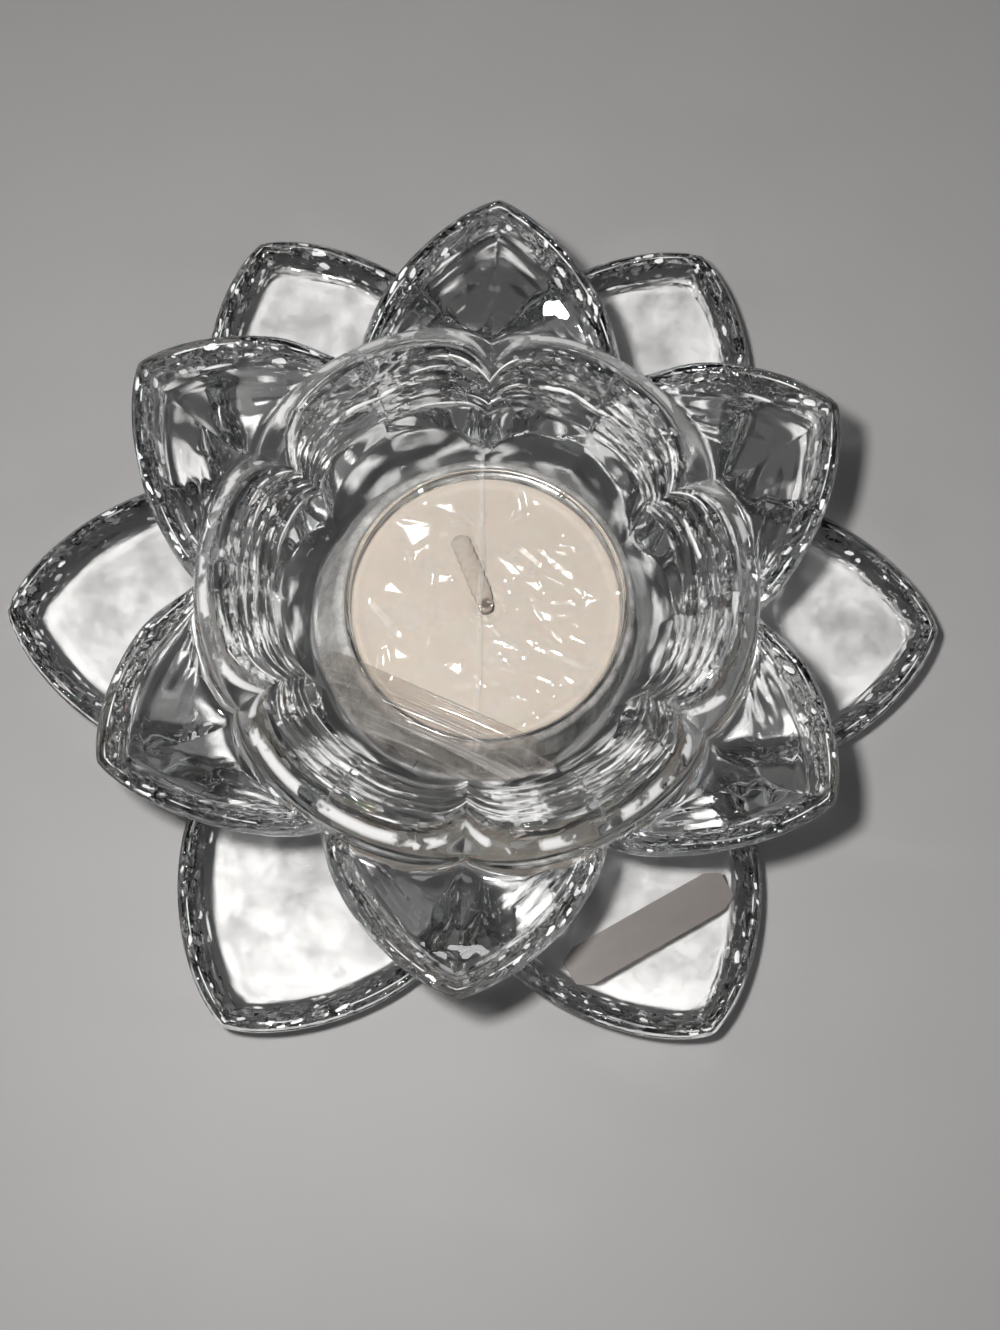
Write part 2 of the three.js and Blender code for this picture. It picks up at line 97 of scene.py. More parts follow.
class Finish:
    """A material, or the room round the table, that is being wired up."""

    def __init__(self, owner):
        self.owner = owner
        owner.use_nodes = True
        self.tree = owner.node_tree
        self.tree.nodes.clear()

    def node(self, kind, settings=None, sockets=None, out=0):
        made = self.tree.nodes.new(kind)
        for key, value in (settings or {}).items():
            if key == "stops":
                while len(made.color_ramp.elements) < len(value):
                    made.color_ramp.elements.new(0.5)
                for stop, (place, shade) in zip(made.color_ramp.elements, value):
                    stop.position = place
                    stop.color = (shade, shade, shade, 1)
            else:
                setattr(made, key, value)
        for key, value in (sockets or {}).items():
            if isinstance(value, Wire):
                self.tree.links.new(value.socket, made.inputs[key])
            else:
                made.inputs[key].default_value = value
        return Wire(self, made.outputs[out] if made.outputs else None)

    def principled(self, **sockets):
        named = {key.replace("_", " "): value for key, value in sockets.items()}
        return self.node("ShaderNodeBsdfPrincipled", None, named)

    def surface(self, shader):
        self.node("ShaderNodeOutputMaterial", None, {"Surface": shader})
        return self.owner

    def place(self):
        return self.node("ShaderNodeTexCoord", out="Object")

    def layer(self, name):
        """A value that was stored on the points of the mesh."""
        return self.node("ShaderNodeAttribute", {"attribute_name": name}, out="Fac")

    def noise(self, scale, detail=3.0, roughness=0.5, place=None):
        place = place or self.place()
        sockets = {"Vector": place, "Scale": scale, "Detail": detail, "Roughness": roughness}
        return self.node("ShaderNodeTexNoise", None, sockets)

    def step(self, value, low, high, at_low=0.0, at_high=1.0):
        settings = {"interpolation_type": "SMOOTHSTEP"}
        return self.node("ShaderNodeMapRange", settings, {0: value, 1: low, 2: high, 3: at_low, 4: at_high})

    def blend(self, mask, first, second):
        ends = [colour if isinstance(colour, Wire) else (*colour, 1) for colour in (first, second)]
        return self.node("ShaderNodeMix", {"data_type": "RGBA"}, {0: mask, 6: ends[0], 7: ends[1]}, out=2)

    def rays(self, kind):
        """1 for rays of a kind and 0 for all others."""
        return self.node("ShaderNodeLightPath", out=f"Is {kind} Ray")

    def math(self, operation, *values):
        return self.node("ShaderNodeMath", {"operation": operation}, dict(enumerate(values)))

    def vector_math(self, operation, *values, out="Vector"):
        return self.node("ShaderNodeVectorMath", {"operation": operation}, dict(enumerate(values)), out)

    def bump(self, height, distance, strength=1.0, under=None):
        sockets = {"Height": height, "Distance": distance, "Strength": strength}
        if under:
            sockets["Normal"] = under
        return self.node("ShaderNodeBump", None, sockets)

    def mix(self, share, first, second):
        return self.node("ShaderNodeMixShader", None, {0: share, 1: first, 2: second})

    def clear(self, tint):
        return self.node("ShaderNodeBsdfTransparent", None, {"Color": (*tint, 1)})


def new_finish(name):
    return Finish(bpy.data.materials.new(name))


def table_top():
    made = new_finish("table_top")
    cloudy = made.noise(9, 4) * 0.6 + made.noise(70, 2) * 0.4
    colour = made.blend(cloudy, (0.365, 0.36, 0.362), (0.405, 0.40, 0.402))
    grain = made.bump(made.noise(900, 2), 0.00004, 0.35)
    skin = made.principled(Base_Color=colour, Roughness=0.5, Specular_IOR_Level=0.25, Normal=grain)
    from_middle = made.vector_math("LENGTH", made.place(), out="Value")
    far_grey = made.node("ShaderNodeEmission", None, {"Color": (0.225, 0.228, 0.23, 1)})
    looked_at = made.rays("Camera") + made.rays("Glossy") + made.rays("Transmission")
    return made.surface(made.mix(made.step(from_middle, 0.15, 0.5) * looked_at, skin, far_grey))


table_size, table_drop = 30, 0.00002
bpy.ops.mesh.primitive_plane_add(size=table_size, location=(0, 0, -table_drop))
table = bpy.context.object
table.name = "table"
table.data.materials.append(table_top())

room_glow = [(0.0, 0.24), (0.1, 0.2), (0.34, 0.04), (0.66, 0.012), (1.0, 0.06)]  # (height, brightness)
pane_count, pane_glow = 7, 1.8

room = Finish(bpy.data.worlds.new("room"))
away = room.node("ShaderNodeTexCoord", out="Generated")
eastward, northward, skyward = (
    room.node("ShaderNodeSeparateXYZ", None, {0: away}, out=axis) for axis in "XYZ"
)
glow = room.node("ShaderNodeValToRGB", {"stops": room_glow}, {"Fac": skyward})
wave = room.math("SINE", room.math("ARCTAN2", northward, eastward) * pane_count + 0.7)
panes = room.step(wave, 0.25, 0.35) * room.step(skyward, 0.14, 0.16) * room.step(skyward, 0.5, 0.52, 1, 0)
seen_in_glass = room.math("MAXIMUM", room.rays("Glossy"), room.rays("Transmission"))
glow = glow + panes * seen_in_glass * pane_glow
backdrop = room.node("ShaderNodeBackground", None, {"Color": (0.98, 0.99, 1, 1), "Strength": glow})
room.node("ShaderNodeOutputWorld", None, {"Surface": backdrop})
scene.world = room.owner


def lamp(name, place, power, aim=(0, 0, 0.01), **settings):
    light = bpy.data.lights.new(name, "AREA")
    light.energy = power
    for key, value in settings.items():
        setattr(light, key, value)
    made = bpy.data.objects.new(name, light)
    made.location = place
    made.rotation_euler = (Vector(aim) - Vector(place)).to_track_quat("-Z", "Y").to_euler()
    scene.collection.objects.link(made)


lamp("key_lamp", (-0.036, -0.042, 0.262), 0.66, shape="DISK", size=0.02, color=(1, 0.985, 0.96))
for name, place, power, size in (
    ("left_strip", (-0.9, 0.1, 0.5), 0.45, (0.03, 0.55)),
    ("back_strip", (0.1, 0.95, 0.6), 0.45, (0.55, 0.03)),
    ("right_strip", (0.9, -0.1, 0.45), 0.7, (0.04, 0.55)),
    ("front_strip", (-0.1, -0.95, 0.5), 0.7, (0.55, 0.04)),
):
    lamp(name, place, power, shape="RECTANGLE", size=size[0], size_y=size[1])

# Petal saucer. The lower row of the flower: six broad petals pressed in clear glass in one piece with
# the disc that carries them. Each is a shallow pan with a raised rim, bevelled below, and a small pinched
# bead at its tip, where the two halves of the mould met.
petal_count = 6
spokes_per_petal = 160

saucer = dict(
    tip=66.5,
    widest=38.0,
    half_width=21.3,
    tip_point=0.7,
    edge_round=1.3,
    lip_width=3.8,
    bevel_width=3.2,
    terraces=3.4,
    terrace_height=0.12,
)
saucer_top, saucer_pan_rise, saucer_under_rise = 4.0, 3.2, 3.0
saucer_lip, saucer_bevel, saucer_disc = 2.1, 3.4, 36.0
bead_height, bead_size, bead_inset = 0.7, 1.3, 2.6
recess_radius, recess_depth = 21.0, 0.6

rim_ripple, rim_ripple_pitch = 0.14, 5.2
rim_crest, terrace_pitch = 1.35, 1.5
least_wall = 1.2
tip_crowding = 1.35
rim_length = 300  # more than a petal's rim, so that no two petals have the same nicks


def smoothstep(value, low, high):
    share = np.clip((value - low) / (high - low), 0, 1)
    return share * share * (3 - 2 * share)


def petal_half_width(shape, radius):
    share = np.clip((radius - shape["widest"]) / (shape["tip"] - shape["widest"]), 0, 1)
    return shape["half_width"] * (1 - share**1.8) ** shape["tip_point"]


def petal_outline(shape, aside):
    """Distance from the middle to a petal's outline, at an angle from its middle line."""
    low = np.full_like(aside, 15.0)
    high = shape["tip"] / np.cos(aside)
    for _ in range(50):
        middle = (low + high) / 2
        inside = petal_half_width(shape, middle * np.cos(aside)) > middle * np.abs(np.sin(aside))
        low = np.where(inside, middle, low)
        high = np.where(inside, high, middle)
    return low


def petal_faces(shape, x, y, top, bottom, lip, bevel, scoop, keel):
    """Upper and lower face of a petal that runs along x, how far each point is from its edge, and the
    crests of its rim and the valleys of its underside, which are above and below a half and mark where
    painted highlights and painted shade go."""
    half = petal_half_width(shape, x)
    step = 0.02
    slope = (petal_half_width(shape, x - step) - petal_half_width(shape, x + step)) / (2 * step)
    from_edge = np.maximum(0, half - np.abs(y)) / np.hypot(1, slope)
    across = np.where(half > 1e-6, np.minimum(1, np.abs(y) / np.maximum(half, 1e-6)), 1)
    rounding = np.sqrt(1 - (1 - np.minimum(1, from_edge / shape["edge_round"])) ** 2)
    rimmed = lip > 0
    fall = 1 - np.clip((from_edge / shape["lip_width"] - 0.4) / 0.6, 0, 1)
    ripple = rim_ripple * rimmed * np.sin(from_edge * rim_ripple_pitch) * smoothstep(from_edge, 0.3, 0.8)
    upper = top + (lip * fall + ripple * fall) - scoop * (1 - across**2)
    lower = bottom - keel * (1 - across)
    lower = lower + bevel * np.maximum(0, 1 - from_edge / shape["bevel_width"]) ** 1.2
    terraced = smoothstep(from_edge, 0.8, 1.6)
    terraced = terraced * (1 - smoothstep(from_edge, shape["terraces"], shape["terraces"] + 2))
    terrace = np.abs(np.sin(from_edge * terrace_pitch))
    lower = lower - shape["terrace_height"] * terraced * rimmed * terrace
    lower = np.minimum(lower, upper - least_wall)
    middle = (upper + lower) / 2
    outer_line = np.exp(-((from_edge - rim_crest) / 0.22) ** 2)
    inner_line = np.exp(-((from_edge - shape["lip_width"]) / 0.2) ** 2)
    crest = 0.5 + 0.5 * rimmed * np.maximum(outer_line, inner_line)
    valley = 0.5 - 0.5 * terraced * rimmed * (1 - terrace)
    upper = middle + (upper - middle) * rounding
    lower = middle + (lower - middle) * rounding
    return upper, lower, from_edge, crest, valley


def fan_angles(per_petal):
    """Angles from a petal's middle line, closer together near the tip, for one petal's sector."""
    share = np.linspace(-1, 1, per_petal, endpoint=False)
    return math.radians(180 / petal_count) * np.sign(share) * np.abs(share) ** tip_crowding


def smooth_piece(name, points, faces):
    mesh = bpy.data.meshes.new(name)
    mesh.from_pydata(points, [], faces)
    mesh.shade_smooth()
    made = bpy.data.objects.new(name, mesh)
    scene.collection.objects.link(made)
    return made


def flower_shell(name, sector, turn):
    """A closed mesh of a flower. sector has the radius and height of each point of one petal, on spokes
    from the middle of the upper side, over the edge, to the middle of the underside, and what the glass
    has there: how far in and how far along the rim it is, how much light it lets through, how thick it
    is, how nicked, and the crests and valleys of its ridges, where painted highlights and painted shade go."""
    radius, height = sector["radius"], sector["height"]
    aside = fan_angles(len(radius))
    grid = []
    layers = {key: [] for key in ("inset", "along", "lets_through", "thick", "nicked", "ridge")}
    for k in range(petal_count):
        angle = (aside + math.radians(turn + k * 360 / petal_count))[:, None]
        grid.append(np.stack([radius * np.cos(angle), radius * np.sin(angle), height], axis=2))
        for key, values in layers.items():
            values.append(sector[key] + (rim_length * k if key == "along" else 0))
    grid = np.concatenate(grid) * MM
    spokes, width = len(grid), radius.shape[1] - 2
    points = np.vstack([grid[:, 1:-1].reshape(-1, 3), grid[0, 0], grid[0, -1]])
    here = np.arange(spokes)
    after = (here + 1) % spokes
    quads = [
        np.stack([here * width + s, here * width + s + 1, after * width + s + 1, after * width + s], axis=1)
        for s in range(width - 1)
    ]
    top, under = len(points) - 2, len(points) - 1
    caps = [(top, int(a * width), int(b * width)) for a, b in zip(here, after)]
    caps += [(under, int(b * width + width - 1), int(a * width + width - 1)) for a, b in zip(here, after)]
    made = smooth_piece(name, points.tolist(), np.concatenate(quads).tolist() + caps)
    for key, values in layers.items():
        whole = np.concatenate(values)
        values = np.concatenate([whole[:, 1:-1].ravel(), [whole[0, 0], whole[0, -1]]])
        stored = made.data.attributes.new(key, "FLOAT", "POINT")
        stored.data.foreach_set("value", values.astype(np.float32))
    return made


def edge_steps(first, count, growth):
    """Distances in from a petal's edge, which grow as they leave it."""
    return first * (growth ** np.arange(count) - 1) / (growth - 1)


def edge_length(aside, reach):
    """How far along a petal's outline each of its points lies."""
    x, y = reach * np.cos(aside), reach * np.sin(aside)
    return np.concatenate([[0], np.cumsum(np.hypot(np.diff(x), np.diff(y)))])


def whole_petal(spokes, aside, reach):
    """The values of one petal's spokes, each as one array, with the way along its rim."""
    sector = {key: np.array([spoke[key] for spoke in spokes]) for key in spokes[0]}
    along = edge_length(aside, reach)[:, None]
    sector["along"] = np.repeat(along, sector["radius"].shape[1], axis=1)
    return sector


def saucer_sector():
    aside = fan_angles(spokes_per_petal)
    reach = petal_outline(saucer, aside)
    inward = edge_steps(first=0.02, count=34, growth=1.2)
    inward = inward[inward < 16]
    rest = np.linspace(0, 1, 15)[1:]
    spokes = []
    for angle, edge in zip(aside, reach):
        near = edge - inward
        radius = np.concatenate([near, near[-1] * (1 - rest)])
        x, y = radius * math.cos(angle), radius * math.sin(angle)
        rise = smoothstep(x, saucer["widest"], 2 * saucer["tip"] - saucer["widest"])
        beyond = np.maximum(0, x - saucer_disc + 5) / (saucer["tip"] - saucer_disc + 5)
        petal = smoothstep(x, saucer_disc - 1, saucer_disc + 10)
        upper, lower, from_edge, crest, valley = petal_faces(
            saucer, x, y,
            top=saucer_top + saucer_pan_rise * 2 * rise,
            bottom=0.3 * smoothstep(x, saucer_disc - 4, saucer_disc) + saucer_under_rise * beyond**1.4,
            lip=saucer_lip * petal,
            bevel=saucer_bevel * petal,
            scoop=0,
            keel=0,
        )
        bead = np.exp(-((x - saucer["tip"] + bead_inset) ** 2 + (y * 1.3) ** 2) / bead_size**2)
        upper = upper + bead_height * bead * np.minimum(1, from_edge / 0.6)
        recess = recess_depth * smoothstep(-radius, -recess_radius - 0.6, -recess_radius)
        lower = np.where(radius < recess_radius, recess, lower)
        past_ring = 1 + smoothstep(radius, 40, 44)
        pan_edge = 0.7 * np.exp(-((from_edge - 5.0) / 0.45) ** 2)
        lit = 0.02 + past_ring * (smoothstep(from_edge, 3.9, 4.8) + pan_edge)
        spokes.append(dict(
            radius=np.concatenate([radius[::-1], radius[1:]]),
            height=np.concatenate([upper[::-1], lower[1:]]),
            inset=np.concatenate([from_edge[::-1], from_edge[1:]]),
            lets_through=np.concatenate([lit[::-1], np.ones(len(lit) - 1)]),
            ridge=np.concatenate([crest[::-1], valley[1:]]),
        ))
    sector = whole_petal(spokes, aside, reach)
    sector["thick"] = np.zeros_like(sector["radius"])
    sector["nicked"] = smoothstep(sector["inset"], 0.2, 0.6) * (1 - smoothstep(sector["inset"], 2.6, 4.2))
    return sector


glass_shadow, glass_focus = 0.02, 2.5  # least and most light behind the glass


def pressed_glass(name):
    """Clear glass with the slight ripple of the mould, nicked along its rims. Its colour is darkened
    towards the rims and along the valleys of its ridges, a painted shade, and white frosted specks on some
    nicks and white streaks on the crests are painted highlights in place of glints. Light that it throws on
    what lies behind is dim behind rims and thick glass, with bright threads, and bright behind the pans."""
    made = new_finish(name)
    place = made.place()
    inset, along, thick, nicked, ridge = (
        made.layer(key) for key in ("inset", "along", "thick", "nicked", "ridge")
    )
    wobble = made.noise(700, 2, 0.5, place)
    on_rim = {0: along * 0.5 + wobble * 1.2, 1: inset * 1.15 + wobble * 0.6}
    cell = {"Vector": made.node("ShaderNodeCombineXYZ", None, on_rim), "Scale": 1.0, "Randomness": 1.0}
    nicks = made.node("ShaderNodeTexVoronoi", None, cell)
    cell_colour = made.node("ShaderNodeTexVoronoi", None, cell, out="Color")
    nick_size = made.node("ShaderNodeSeparateXYZ", None, {0: cell_colour}, out="X") * 0.52
    # Painted highlights: white frosted specks on some of the nicks, which stand in for glints as well as
    # for the frosting of real chips.
    some_nicks = made.step(made.noise(160, 1, 0.5, place), 0.34, 0.42)
    nick_specks_and_glints = made.step(nicks - nick_size, -0.14, -0.08, 1, 0) * some_nicks * nicked
    ripple = made.bump(made.noise(110, 2, 0.4, place), 0.0005, 0.6)
    scratched = made.bump(made.noise(900, 2, 0.5, place) * nicked, 0.0003, 0.5, under=ripple)
    normal = made.bump(nicks * nicked, 0.0004, 0.9, under=scratched)
    # Painted shade: the colour of the glass is darkened towards its rims and in patches along the valleys
    # between its ridges, so that what is seen through it reads dark there. Thick glass is also a little
    # darker in its own colour.
    painted_valley_shade = made.step(ridge, 0.12, 0.3, 1, 0) * made.step(made.noise(130, 2, 0.5, place), 0.35, 0.6)
    painted_shade_tone = made.step(inset, 0.6, 4.0, 0.42, 1) * (1 - thick * 0.04) * (1 - painted_valley_shade * 0.8)
    tint = made.blend(painted_shade_tone, (0.04, 0.045, 0.05), (0.97, 0.98, 0.98))
    clear_glass = made.principled(
        Base_Color=tint, Roughness=0.0, IOR=1.52, Transmission_Weight=1.0, Normal=normal
    )
    # Painted highlights: a white shader on the nicks and in broken streaks along the crests and the outer
    # slope of the ring, in place of glints.
    frost_and_painted_glints = made.principled(Base_Color=(0.95, 0.95, 0.96, 1), Roughness=0.25, Normal=normal)
    streaks = made.step(ridge, 0.8, 0.95) * made.step(made.noise(170, 3, 0.6, place), 0.46, 0.54) * 0.9
    glass = made.mix(made.math("MAXIMUM", nick_specks_and_glints, streaks), clear_glass, frost_and_painted_glints)
    threads = made.step(made.math("PINGPONG", made.noise(60, 2, 0.5, place) * 4, 0.5), 0.33, 0.4)
    cloud = made.noise(120, 6, 0.72, place) - 0.5
    light = made.layer("lets_through") * (1 + cloud * 1.9) * (1 + thick * (threads * 6 - 0.93))
    share = (light - glass_shadow) / (glass_focus - glass_shadow)
    behind = made.mix(share, made.clear((glass_shadow,) * 3), made.clear((glass_focus,) * 3))
    indirect = made.math("MAXIMUM", made.rays("Shadow"), made.rays("Diffuse"))
    return made.surface(made.mix(indirect, glass, behind))


glass = pressed_glass("pressed_glass")
petal_saucer = flower_shell("saucer_glass", saucer_sector(), turn=0)
petal_saucer.data.materials.append(glass)
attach(petal_saucer, "holder")
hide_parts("petal_saucer")

# Bond disc. A thin layer of clear adhesive between the two pressings. It is cured under a lamp and holds
# the foot of the bowl on the disc of the saucer.
def refinish(name, material):
    """Gives a piece that keeps the mesh of its solid a material of the scene."""
    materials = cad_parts[name].data.materials
    materials.clear()
    materials.append(material)


bond = new_finish("clear_bond")
bond_skin = bond.principled(Base_Color=(0.9, 0.9, 0.9, 1), Roughness=0.2 + bond.noise(300) * 0.1)
refinish("bond_disc", bond.surface(bond.mix(0.05, bond.clear((0.97, 0.98, 0.97)), bond_skin)))

# Petal bowl. The upper pressing, of the same glass: a fluted well for the candle, a thick ring of six lobes
# round its mouth, and six keeled petals that flare out from the creases between the lobes. It stands on
# its narrow foot on the bond disc.
bowl = dict(
    root=27.0,
    tip=54.6,
    widest=31.0,
    half_width=19.3,
    tip_point=0.74,
    edge_round=1.2,
    lip_width=3.4,
    bevel_width=2.6,
    terraces=7.0,
    terrace_height=0.55,
)
bowl_turn = 28
foot_z, floor_z = 4.3, 6.4
well_floor_radius, well_radius, flute, well_edge = 23.4, 25.6, 1.9, 23.6
crease_radius, crease_z, lobe_radius, lobe_z, crease_width = 29.9, 26.2, 33.7, 30.6, 6.0
ring_radius, ring_notch, ring_z = 38.1, 2.2, 24.5
groove = 3.0
fillet_height, fillet_reach = 2.2, 0.8
far_from_rim, wall_from_rim = 9, 20
upper_points, under_points = 64, 66
body_underside = (  # (radius, height)
    (0, foot_z), (20, foot_z), (21.6, 5.3), (25.5, 6.9), (29.9, 9.6), (34, 13.0), (37.2, 16.9), (38, 20),
    (38.2, 40),
)
petal_root_z, petal_tip_z, petal_thick = 20.2, 28.6, 3.4
bowl_keel, bowl_scoop, bowl_lip, bowl_bevel = 6.5, 1.8, 1.9, 3.2


def curve_through(points, share):
    """A smooth line through points. share says how many of its stretches lie before each place."""
    points = np.array(points, float)
    padded = np.vstack([2 * points[0] - points[1], points, 2 * points[-1] - points[-2]])
    index = np.minimum(share.astype(int), len(points) - 2)
    t = (share - index)[:, None]
    a, b, c, d = (padded[index + k] for k in range(4))
    return 0.5 * (2 * b + (c - a) * t + (2 * a - 5 * b + 4 * c - d) * t**2 + (3 * b - a - 3 * c + d) * t**3)


def ring_profile(lobe):
    """The inside of the well, the flare above it and the outside of the ring, in one direction."""
    low = well_floor_radius + 0.3 * flute * lobe
    well = well_radius + flute * lobe
    crest = crease_radius + (lobe_radius - crease_radius) * lobe
    crest_z = crease_z + (lobe_z - crease_z) * lobe
    outer = ring_radius - ring_notch * (1 - lobe)
    return [
        (low - 6, floor_z),
        (low - 2.6, floor_z),
        (low - 0.6, floor_z + 0.7),
        (low, floor_z + 2.6),
        ((low + well) / 2 + 0.2, (floor_z + well_edge) / 2),
        (well + 0.3, well_edge - 1.2),
        (well + 1.4, well_edge + 0.8 * lobe),
        (crest - 0.9, crest_z - 0.7),
        (crest, crest_z),
        (crest + 1.0, crest_z - 0.5),
        (outer - 0.8, crest_z - 2.6 - 0.6 * lobe),
        (outer, ring_z - 2 * (1 - lobe)),
    ]


wall_steps = np.concatenate([np.linspace(0, 5, 30), np.linspace(5, 7, 62)[1:], np.linspace(7, 11, 50)[1:]])
ridge_places = (0.02, 0.21, 0.42, 0.66, 0.86, 1.1)
ridge_heights = (0.34, 0.3, 0.42, 0.3, 0.36, 0.3)
ridge_width = 0.12


def tool_lines(share, angle):
    """Soft ridges round the mouth, left by the cutting of the plunger. share is the way up the flare."""
    relief = np.zeros_like(share)
    for k, (place, height) in enumerate(zip(ridge_places, ridge_heights)):
        middle = place + 0.025 * math.sin(9 * angle + 2.4 * k) + 0.015 * math.sin(23 * angle + k * k)
        swell = 0.75 + 0.35 * math.sin(7 * angle + 1.9 * k)
        relief += swell * height * np.maximum(0, 1 - np.abs(share - middle) / ridge_width) ** 1.5
    return relief


def bowl_sector():
    aside = fan_angles(spokes_per_petal)
    reach = petal_outline(bowl, aside)
    inward = edge_steps(first=0.02, count=34, growth=1.2)
    floor = np.array([(0, floor_z), (6, floor_z), (12, floor_z)])
    spokes = []
    for angle, edge in zip(aside, reach):
        lobe = 1 - math.exp(-abs(math.degrees(angle)) / crease_width)
        wall = curve_through(ring_profile(lobe), wall_steps)
        path = np.concatenate([[0], np.cumsum(np.hypot(*np.diff(wall, axis=0).T))])
        flare = path[np.argmax(wall[:, 1] > well_edge - 1.0)]
        up_flare = (path - flare) / (path[np.argmax(wall[:, 1])] - flare)
        way = np.gradient(wall, axis=0)
        way /= np.linalg.norm(way, axis=1)[:, None]
        relief = tool_lines(up_flare, angle)
        wall = wall + relief[:, None] * np.stack([-way[:, 1], way[:, 0]], axis=1)
        outer = wall[-1, 0]

        def faces(radius):
            x, y = radius * math.cos(angle), radius * math.sin(angle)
            share = np.maximum(0, (x - crease_radius) / (bowl["tip"] - crease_radius))
            along = (x - bowl["root"]) / (bowl["tip"] - bowl["root"])
            top = petal_root_z + (petal_tip_z - petal_root_z) * share**1.25
            free = smoothstep(x, 35.4, 43.4)
            return petal_faces(
                bowl, x, y,
                top=top,
                bottom=top - petal_thick * (1 + 0.5 * (1 - along)),
                lip=bowl_lip * free,
                bevel=bowl_bevel * free,
                scoop=bowl_scoop * (1 - np.clip(along, 0, 1) ** 2),
                keel=bowl_keel * (1 - np.clip(along, 0, 1) ** 2.5),
            )

        first = outer + 0.05
        span = max(0.3, edge - first)
        near = edge - inward[inward < span * 0.6]
        fill = np.linspace(first, near[-1], upper_points - len(near), endpoint=False)
        radius = np.concatenate([fill, near[::-1]])
        upper, _, inset_upper, crest, _ = faces(radius)
        fillet = fillet_height * np.exp(-(radius - outer) / fillet_reach)
        upper = upper + fillet * np.clip((edge - radius) / 1.2, 0, 1)
        to_foot = np.linspace(near[-1], 19.5, under_points - len(near))[1:]
        back = np.concatenate([near, to_foot, [17, 12, 6, 0]])
        _, lower, inset_lower, _, valley = faces(back)
        off_middle = 1 - abs(math.cos(angle * petal_count / 2))
        body = np.interp(back, *zip(*body_underside)) + groove * off_middle * smoothstep(back, 20.5, 28)
        lower = np.maximum(np.minimum(lower, body), foot_z)
        inset_lower = np.where(back > outer, inset_lower, far_from_rim)
        on_flare = smoothstep(up_flare, -0.15, 0.05) * (1 - smoothstep(up_flare, 1.2, 1.5))
        # Crests of the tool lines and the valleys between them, where the glass paints white highlights and
        # dark shade, and a band on the outer slope of the ring that counts as a crest only so that a
        # painted highlight goes there.
        wall_crest = 0.5 + (np.clip(relief / 0.3, 0, 1) - 0.5) * on_flare
        outer_slope_highlight = 0.96 * np.exp(-((up_flare - 1.38) / 0.3) ** 2) * (up_flare > 1.15)
        spokes.append(dict(
            radius=np.concatenate([floor[:, 0], wall[:, 0], radius, back[1:]]),
            height=np.concatenate([floor[:, 1], wall[:, 1], upper, lower[1:]]),
            inset=np.concatenate([
                np.full(len(floor), far_from_rim),
                wall_from_rim + path,
                inset_upper,
                inset_lower[1:],
            ]),
            ridge=np.concatenate([
                np.full(len(floor), 0.5),
                np.maximum(wall_crest, outer_slope_highlight),
                crest,
                0.5 + (valley[1:] - 0.5) * (back[1:] > outer),
            ]),
            nicked=np.concatenate([
                np.zeros(len(floor)),
                0.25 * smoothstep(up_flare, -0.1, 0.1) * (1 - smoothstep(up_flare, 1.1, 1.4)),
                smoothstep(inset_upper, 0.2, 0.6) * (1 - smoothstep(inset_upper, 2.6, 4.2)),
                np.zeros(len(back) - 1),
            ]),
            lets_through=np.concatenate([
                np.full(len(floor), 0.9),
                0.9 - 0.5 * smoothstep(wall[:, 1], floor_z + 0.3, floor_z + 2),
                0.03 + 0.74 * smoothstep(inset_upper, 3.2, 5.2),
                np.ones(len(back) - 1),
            ]),
            thick=np.concatenate([
                np.zeros(len(floor)),
                smoothstep(wall[:, 1], floor_z + 6, well_edge),
                np.full(len(radius), 0.86),
                np.zeros(len(back) - 1),
            ]),
        ))
    sector = whole_petal(spokes, aside, reach)
    on_wall = slice(len(floor), len(floor) + len(wall_steps))
    sector["along"][:, on_wall] = aside[:, None] * lobe_radius
    return sector


petal_bowl = flower_shell("bowl_glass", bowl_sector(), bowl_turn)
petal_bowl.data.materials.append(glass)
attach(petal_bowl, "holder")
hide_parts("petal_bowl")

# Blank label. A bare strip of smoke-grey film with an adhesive back, stuck by hand across the upper face
# of one saucer petal.
label = new_finish("grey_label")
label_grey = label.blend(label.noise(500, 2), (0.205, 0.183, 0.176), (0.235, 0.21, 0.20))
label_skin = label.principled(Base_Color=label_grey, Roughness=0.35)
refinish("blank_label", label.surface(label.mix(0.8, label.clear((0.75, 0.73, 0.71)), label_skin)))

# Tealight cup. A clear moulded plastic cup with a rolled rim. It stands loose in the well, a little off
# its middle, and lifts out.
candle_x, candle_y, candle_z = 1.2, -1.2, floor_z
candle_foot = np.array([candle_x, candle_y, candle_z])
cup_radius, cup_height, cup_wall, cup_rim = 18.95, 15.2, 0.45, 0.38
round_steps = 240


def candle_piece(name, rings, ends=("first", "last")):
    """A mesh from rings of points round the candle's middle. ends names the end rings that are closed."""
    rings = np.array(rings, float)
    count, length = rings.shape[:2]
    points = ((rings + candle_foot).reshape(-1, 3) * MM).tolist()
    here = np.arange(length)
    after = (here + 1) % length
    faces = []
    for low in range(0, (count - 1) * length, length):
        high = low + length
        faces += np.stack([low + here, high + here, high + after, low + after], axis=1).tolist()
    for end, k, order in (("first", 0, 1), ("last", count - 1, -1)):
        if end in ends:
            points.append((np.mean(rings[k], axis=0) + candle_foot) * MM)
            middle, start = len(points) - 1, k * length
            faces += [[middle, int(start + a), int(start + b)][::order] for a, b in zip(here, after)]
    return smooth_piece(name, points, faces)


def turned_rings(profile):
    """Rings of a turned shape, from its (radius, height) points."""
    angle = np.linspace(0, 2 * math.pi, round_steps, endpoint=False)
    across, away = np.cos(angle), np.sin(angle)
    return [np.stack([r * across, r * away, np.full(round_steps, z)], axis=1) for r, z in profile]


